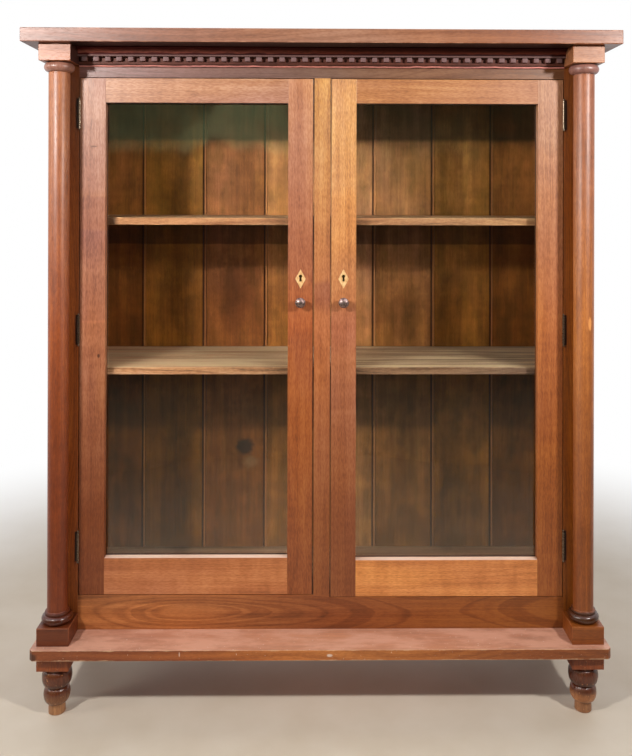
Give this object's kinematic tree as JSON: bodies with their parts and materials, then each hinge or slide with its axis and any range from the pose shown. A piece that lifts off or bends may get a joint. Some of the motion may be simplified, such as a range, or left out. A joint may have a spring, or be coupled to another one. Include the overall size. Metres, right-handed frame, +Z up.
{
  "type": "bookcase with glass doors",
  "caption": "Tall free-standing bookcase with glazed hinged doors, front columns, a dentil cornice and turned feet.",
  "frame": {"origin": "on the floor, in the middle of the whole object's plan", "axes": "+X to the viewer's right seen from the front, +Y from the front to the back, +Z up"},
  "size_m": [1.3586, 0.419, 1.5635],
  "materials": {
    "case_wood": "old French polish on walnut, satin with rubbed edges",
    "door_wood": "old French polish on walnut, warmer, satin",
    "turned_wood": "old French polish, glossier on the rings",
    "moulding_wood": "dark stained, satin",
    "shelf_wood": "worn and partly bare, matt",
    "back_wood": "stained boards, dull",
    "window_glass": "old clear pane",
    "pale_inlay": "pale boxwood or bone, polished",
    "knob_metal": "dark, worn bright",
    "hinge_metal": "worn steel",
    "lock_metal": "tarnished"
  },
  "bodies": {
    "case": {"top_board": "case_wood", "cove_moulding": "moulding_wood", "dentil_moulding": "moulding_wood", "frieze_rail": "case_wood", "base_rail": "case_wood", "centre_mullion": "door_wood", "left_face_stile": "case_wood", "right_face_stile": "case_wood", "left_side_panel": "case_wood", "right_side_panel": "case_wood", "bottom_board": "shelf_wood", "lower_shelf": "shelf_wood", "upper_shelf": "shelf_wood", "back_boards_1": "back_wood", "back_boards_2": "back_wood", "back_boards_3": "back_wood", "back_boards_4": "back_wood", "base_board": "case_wood", "front_left_foot": "turned_wood", "rear_left_foot": "turned_wood", "front_right_foot": "turned_wood", "rear_right_foot": "turned_wood", "left_capital_block": "case_wood", "left_column": "turned_wood", "left_plinth_block": "case_wood", "right_capital_block": "case_wood", "right_column": "turned_wood", "right_plinth_block": "case_wood", "left_bottom_hinge_case_leaf": "hinge_metal", "left_middle_hinge_case_leaf": "hinge_metal", "left_top_hinge_case_leaf": "hinge_metal", "right_bottom_hinge_case_leaf": "hinge_metal", "right_middle_hinge_case_leaf": "hinge_metal", "right_top_hinge_case_leaf": "hinge_metal"},
    "left_door": {"left_door_hinge_stile": "door_wood", "left_door_lock_stile": "door_wood", "left_door_bottom_rail": "door_wood", "left_door_top_rail": "door_wood", "left_door_glass": "window_glass", "left_door_glazing_beads": "moulding_wood", "left_escutcheon": "pale_inlay", "left_knob": "knob_metal", "left_lock_case": "lock_metal", "left_bottom_hinge_door_leaf": "hinge_metal", "left_middle_hinge_door_leaf": "hinge_metal", "left_top_hinge_door_leaf": "hinge_metal"},
    "right_door": {"right_door_hinge_stile": "door_wood", "right_door_lock_stile": "door_wood", "right_door_bottom_rail": "door_wood", "right_door_top_rail": "door_wood", "right_door_glass": "window_glass", "right_door_glazing_beads": "moulding_wood", "right_escutcheon": "pale_inlay", "right_knob": "knob_metal", "right_lock_case": "lock_metal", "right_bottom_hinge_door_leaf": "hinge_metal", "right_middle_hinge_door_leaf": "hinge_metal", "right_top_hinge_door_leaf": "hinge_metal"},
    "left_bolt": {"left_lock_bolt": "lock_metal"},
    "right_bolt": {"right_lock_bolt": "lock_metal"}
  },
  "joints": [
    {"name": "left_door_hinge", "type": "hinge", "parent": "case", "child": "left_door", "pos_m": [-0.571, -0.1185, 0.855], "axis": [0, 0, -1], "range_deg": [0, 105]},
    {"name": "right_door_hinge", "type": "hinge", "parent": "case", "child": "right_door", "pos_m": [0.571, -0.1185, 0.855], "axis": [0, 0, 1], "range_deg": [0, 105]},
    {"name": "left_bolt_slide", "type": "slide", "parent": "left_door", "child": "left_bolt", "axis": [1, 0, 0], "range_m": [0, 0.0075]},
    {"name": "right_bolt_slide", "type": "slide", "parent": "right_door", "child": "right_bolt", "axis": [-1, 0, 0], "range_m": [0, 0.0075]}
  ]
}
